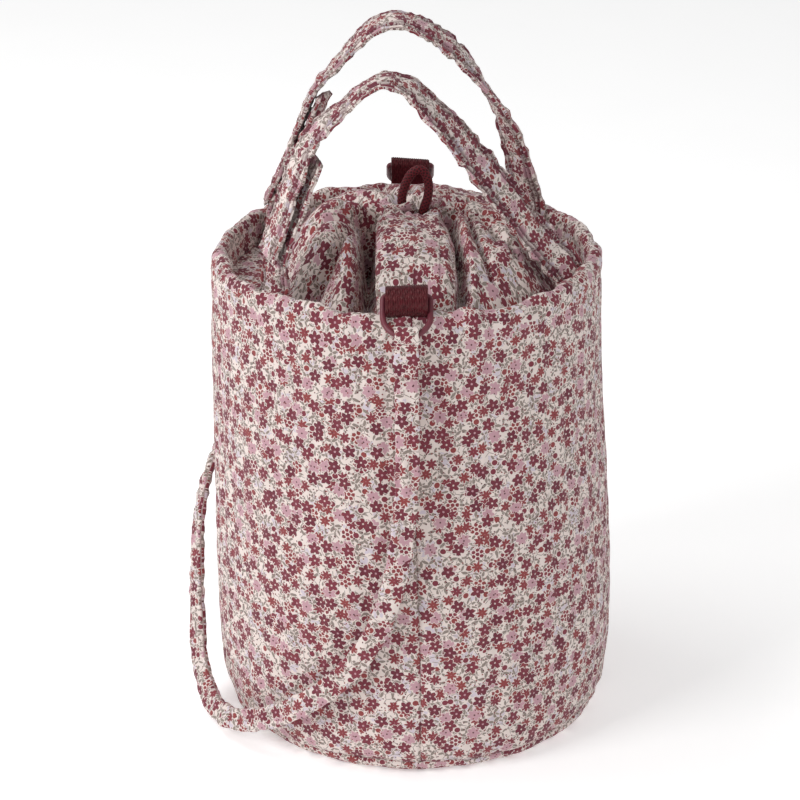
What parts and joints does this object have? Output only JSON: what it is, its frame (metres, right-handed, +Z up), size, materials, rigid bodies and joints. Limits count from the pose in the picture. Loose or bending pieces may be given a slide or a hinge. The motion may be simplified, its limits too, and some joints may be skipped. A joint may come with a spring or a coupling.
{
  "type": "knitting bag",
  "caption": "Padded round fabric bag with a drawstring collar, snap carry handles, D-rings and a shoulder strap, for carrying yarn and knitting.",
  "frame": {"origin": "centre of the base on the surface it stands on", "axes": "+Z up through the mouth, -Y towards the front ring, +X to the right seen from the front"},
  "size_m": [0.2863, 0.2972, 0.4545],
  "materials": {
    "print_cotton": "matte printed cotton",
    "lining": "plain matte cotton",
    "batting": "soft polyester batting",
    "webbing": "ribbed woven webbing",
    "cord": "shiny braided cord",
    "ring_satin": "satin lacquer",
    "snap_metal": "satin",
    "board": "plain"
  },
  "bodies": {
    "root": {"base_board": "board", "base_padding": "batting", "base_panel": "print_cotton", "collar_hem": "print_cotton", "collar_left": "print_cotton", "collar_right": "print_cotton", "drawcord_run": "cord", "front_left_anchor": "print_cotton", "front_right_anchor": "print_cotton", "front_tab": "webbing", "lining_floor": "lining", "lining_wall": "lining", "outer_wall_left": "print_cotton", "outer_wall_right": "print_cotton", "rear_left_anchor": "print_cotton", "rear_right_anchor": "print_cotton", "rear_tab": "webbing", "rim_cover": "print_cotton", "rim_padding_left": "batting", "rim_padding_right": "batting", "shoulder_strap": "print_cotton", "wall_padding_front_left": "batting", "wall_padding_front_right": "batting", "wall_padding_rear_left": "batting", "wall_padding_rear_right": "batting"},
    "front_ring": {"front_ring": "ring_satin", "strap_front_end": "print_cotton"},
    "rear_ring": {"rear_ring": "ring_satin", "strap_rear_end": "print_cotton"},
    "front_handle": {"front_handle_strap": "print_cotton", "front_snap_sockets": "snap_metal", "front_snap_socket_backs": "snap_metal"},
    "rear_handle": {"rear_handle_strap": "print_cotton", "rear_snap_sockets": "snap_metal", "rear_snap_socket_backs": "snap_metal"},
    "front_handle_stub": {"front_handle_stub": "print_cotton", "front_snap_studs": "snap_metal", "front_snap_stud_backs": "snap_metal"},
    "rear_handle_stub": {"rear_handle_stub": "print_cotton", "rear_snap_studs": "snap_metal", "rear_snap_stud_backs": "snap_metal"},
    "drawcord": {"drawcord_loop": "cord"}
  },
  "joints": [
    {"name": "front_ring_swing", "type": "hinge", "parent": "root", "child": "front_ring", "pos_m": [-0.003, -0.1132, 0.33], "axis": [-1, 0, 0], "range_deg": [0, 115]},
    {"name": "rear_ring_swing", "type": "hinge", "parent": "root", "child": "rear_ring", "pos_m": [0, 0.1132, 0.337], "axis": [1, 0, 0], "range_deg": [0, 115]},
    {"name": "front_handle_fold", "type": "hinge", "parent": "root", "child": "front_handle", "pos_m": [-0.086, -0.068, 0.33], "axis": [0.9891, 0.1473, 0], "range_deg": [-20, 70]},
    {"name": "rear_handle_fold", "type": "hinge", "parent": "root", "child": "rear_handle", "pos_m": [-0.087, 0.064, 0.33], "axis": [-0.998, -0.0635, 0], "range_deg": [-20, 70]},
    {"name": "front_handle_unsnap", "type": "hinge", "parent": "front_handle", "child": "front_handle_stub", "pos_m": [-0.086, -0.068, 0.33], "axis": [-0.1473, 0.9891, 0], "range_deg": [0, 25]},
    {"name": "rear_handle_unsnap", "type": "hinge", "parent": "rear_handle", "child": "rear_handle_stub", "pos_m": [-0.087, 0.064, 0.33], "axis": [-0.0635, 0.998, 0], "range_deg": [0, 25]},
    {"name": "drawcord_pull", "type": "slide", "parent": "root", "child": "drawcord", "axis": [0, 0, 1], "range_m": [0, 0.033]}
  ]
}
